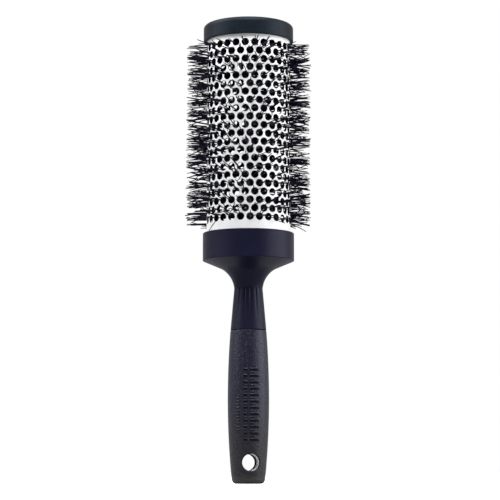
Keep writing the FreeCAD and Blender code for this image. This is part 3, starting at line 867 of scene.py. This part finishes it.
def make_grip():
    """Rubber sleeve with its tactile marks and a hanging hole with soft mouths."""
    points = grip_outline()
    angles = grip_angles()
    radius, height = points[:, :1], points[:, 1:]
    outside = (radius > SKIN_RADIUS) & (height > MARKS_LOW_Z) & (height < MARKS_HIGH_Z)
    marked = raised_marks(angles[None, :], height) * outside
    grid = turned(points, angles, lambda angle, height: MARK_RISE * marked)
    row0, row1, col0, col1 = patch_window(points, angles)
    columns = len(angles)
    back = columns // 2
    windows = [(col0, col1), (col0 + back, col1 + back)]

    def skip(i, j):
        return row0 <= i < row1 and any(a <= j < b for a, b in windows)

    vertices = [tuple(v) for v in grid.reshape(-1, 3)]
    marks = list(marked.reshape(-1))
    bore = [0.0] * len(vertices)
    faces = grid_faces(len(points), columns, skip=skip)

    for a, b in windows:
        sign = -1.0 if a < back else 1.0
        loop = [(row0, j) for j in range(a, b)]
        loop += [(i, b) for i in range(row0, row1)]
        loop += [(row1, j) for j in range(b, a, -1)]
        loop += [(i, a) for i in range(row1, row0, -1)]
        border = [grid[i, j] for i, j in loop]
        directions = [math.atan2(p[2] - HANG_Z, p[0]) for p in border]
        rings = [[i * columns + j for i, j in loop]]

        def add_ring(place, inner=0.0, dark=0.0):
            start = len(vertices)
            for p, direction in zip(border, directions):
                vertices.append(tuple(place(p, direction)))
                marks.append(dark)
                bore.append(inner)
            rings.append(list(range(start, start + len(border))))

        def on_skin(x, z, sunk=0.0):
            y = math.sqrt(float(grip_radius(z)) ** 2 - x * x) - sunk
            return x, sign * y, z

        mouth = HANG_RADIUS + HANG_LIP
        for share in (0.2, 0.42, 0.64, 0.84, 1.0):
            def blend(p, d, share=share):
                x = p[0] + (mouth * math.cos(d) - p[0]) * share
                z = p[2] + (HANG_Z + mouth * math.sin(d) - p[2]) * share
                return on_skin(x, z)

            add_ring(blend)
        for step in range(1, 6):
            turn = math.pi / 2 * step / 5

            def roll(p, d, turn=turn):
                r = HANG_RADIUS + HANG_LIP * (1 - math.sin(turn))
                sunk = HANG_LIP * (1 - math.cos(turn))
                return on_skin(r * math.cos(d), HANG_Z + r * math.sin(d), sunk)

            # painted shade: the rounded mouths of the hole are given the marks' dark colour
            add_ring(roll, dark=1.0)
        for depth in (6.4, 5.0, 3.2, 1.6, 0.0):
            def wall(p, d, depth=depth):
                r = HANG_RADIUS - HANG_TAPER * (1 - depth / HANG_HALF_LENGTH)
                return r * math.cos(d), sign * depth * MM, HANG_Z + r * math.sin(d)

            add_ring(wall, 1.0)
        for first, second in zip(rings, rings[1:]):
            for k in range(len(border)):
                n = (k + 1) % len(border)
                faces.append((first[k], first[n], second[n], second[k]))

    values = {"raised_mark_and_lip_shade": marks, "bore_wall": bore}
    return mesh_object("grip", vertices, faces, sharp_angle=50, values=values)


# ---------------------------------------------------------------- stage, light and camera

CAMERA_AZIMUTH = -8.6  # degrees; the camera stands a little to the left of the front
CAMERA_DISTANCE = 0.976
CAMERA_HEIGHT = 6 * MM
CAMERA_PITCH = 6.60  # degrees above level
CAMERA_LENS, CAMERA_SENSOR = 138.13, 36.0  # millimetres
CAMERA_SIDE = 0.8 * MM  # to the right, which centres the brush

SOFTBOXES = {
    # azimuth from the camera's side and elevation in degrees, distance, width, height, watts
    "softbox_right": (79, 8, 1.3, 1.35, 1.6, 22.5),
    "softbox_left": (-84, 42, 1.4, 1.0, 1.2, 22.5),
    "top_front": (5, 60, 1.5, 1.4, 1.0, 46.0),
}
LIGHT_TINT = (0.96, 0.96, 1.0)
# strength of the surround at the sides and in front, and the cosines where it changes
WORLD_SIDE, WORLD_FRONT = 0.60, 0.05
WORLD_SIDE_COSINE, WORLD_FRONT_COSINE = 0.45, 0.92
FLOOR_REACH = 6.0


def make_stage():
    """A plain pale floor, bright enough to run into the white surroundings."""
    turns = (-1, -1), (1, -1), (1, 1), (-1, 1)
    corners = [(x * FLOOR_REACH, y * FLOOR_REACH, 0) for x, y in turns]
    floor = mesh_object("floor", corners, [(0, 1, 2, 3)], weld=0)
    material, tree, shader = material_base("pale_floor")
    grain = noise(tree, object_position(tree), 90, detail=3.0)
    tone = mix_colour(tree, grain, *FLOOR_COLOURS)
    seen = add_node(tree, "ShaderNodeLightPath").outputs["Is Camera Ray"]
    tree.links.new(mix_colour(tree, seen, FLOOR_UNSEEN, tone), shader.inputs["Base Color"])
    shader.inputs["Roughness"].default_value = 0.9
    shader.inputs["Emission Color"].default_value = (1.0, 1.0, 1.0, 1.0)
    tree.links.new(spread(tree, seen, 0, 1, 0.0, 0.6), shader.inputs["Emission Strength"])
    floor.data.materials.append(material)


def area_light(name, azimuth, elevation, distance, width, height, power):
    """A softbox aimed at the middle of the brush; azimuth 0 is the camera's own direction."""
    data = bpy.data.lights.new(name, "AREA")
    data.shape = "RECTANGLE"
    data.size = width
    data.size_y = height
    data.energy = power
    data.color = LIGHT_TINT
    light = bpy.data.objects.new(name, data)
    a = math.radians(azimuth + CAMERA_AZIMUTH)
    e = math.radians(elevation)
    middle = Vector((0, 0, CAP_TOP_Z / 2))
    away = Vector((math.sin(a) * math.cos(e), -math.cos(a) * math.cos(e), math.sin(e)))
    light.location = middle + away * distance
    light.rotation_euler = away.to_track_quat("Z", "Y").to_euler()
    bpy.context.scene.collection.objects.link(light)


def make_light():
    """A softbox at each side, one high in front, and a pale surround that is darker in front."""
    for name, setting in SOFTBOXES.items():
        area_light(name, *setting)
    world = bpy.data.worlds.new("surround")
    world.use_nodes = True
    bpy.context.scene.world = world
    tree = world.node_tree
    background = tree.nodes["Background"]
    background.inputs["Color"].default_value = (1.0, 1.0, 1.0, 1.0)
    direction = add_node(tree, "ShaderNodeTexCoord").outputs["Generated"]
    a = math.radians(CAMERA_AZIMUTH)
    front = add_node(tree, "ShaderNodeVectorMath", {0: direction}, operation="DOT_PRODUCT")
    front.inputs[1].default_value = (math.sin(a), -math.cos(a), 0)
    edges = WORLD_SIDE_COSINE, WORLD_FRONT_COSINE
    glow = spread(tree, front.outputs["Value"], *edges, WORLD_SIDE, WORLD_FRONT)
    seen = add_node(tree, "ShaderNodeLightPath").outputs["Is Camera Ray"]
    strength = add_node(tree, "ShaderNodeMix", {"Factor": seen, "A": glow, "B": 1.0})
    tree.links.new(strength.outputs["Result"], background.inputs["Strength"])


def make_camera():
    """Long lens, low and looking slightly up."""
    data = bpy.data.cameras.new("camera")
    data.lens = CAMERA_LENS
    data.sensor_width = CAMERA_SENSOR
    data.clip_start = 0.01
    data.clip_end = 50.0
    camera = bpy.data.objects.new("camera", data)
    a = math.radians(CAMERA_AZIMUTH)
    right = Vector((math.cos(a), math.sin(a), 0))
    place = Vector((math.sin(a), -math.cos(a), 0)) * CAMERA_DISTANCE + right * CAMERA_SIDE
    camera.location = place + Vector((0, 0, CAMERA_HEIGHT))
    camera.rotation_euler = (math.radians(90 + CAMERA_PITCH), 0, a)
    bpy.context.scene.collection.objects.link(camera)
    bpy.context.scene.camera = camera


# ---------------------------------------------------------------- assembly

bpy.context.scene.view_settings.view_transform = "Standard"
make_camera()
make_stage()
make_light()

rubber = soft_touch_rubber()
ceramic = ceramic_coating()
navy_plastic = moulded_plastic("navy_plastic", NAVY_COLOURS, 0.34, 0.44, NAVY_TINT)
cap_plastic = moulded_plastic(
    "cap_plastic", CAP_COLOURS, 0.36, 0.48, TEAL_TINT, grain=0.12, specular=0.12
)
inner_plastic = moulded_plastic("inner_plastic", INNER_COLOURS, 0.5, 0.6, NAVY_TINT)
nylon = nylon_filament()
steel = drawn_steel()

finish_piece(make_grip(), rubber, "soft_grip", "grip_sleeve")
finish_piece(make_handle_core(), navy_plastic, "handle_plastic", "handle_core")
finish_piece(make_collar(), navy_plastic, "collar_plastic", "barrel_collar")
finish_piece(make_end_cap(), cap_plastic, "cap_plastic", "end_cap")
finish_piece(make_barrel(), ceramic, "ceramic_coat", "barrel")

rng = random.Random(BRISTLE_SEED)
for index, node_name in enumerate(ROW_NAMES):
    finish_piece(make_bristle_row(index, rng), nylon, "bristle_nylon", node_name)

for node_name, material in (
    ("barrel_base_plug", inner_plastic),
    ("core_wire_a", steel),
    ("core_wire_b", steel),
):
    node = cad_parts[node_name]
    node.data.materials.clear()
    node.data.materials.append(material)
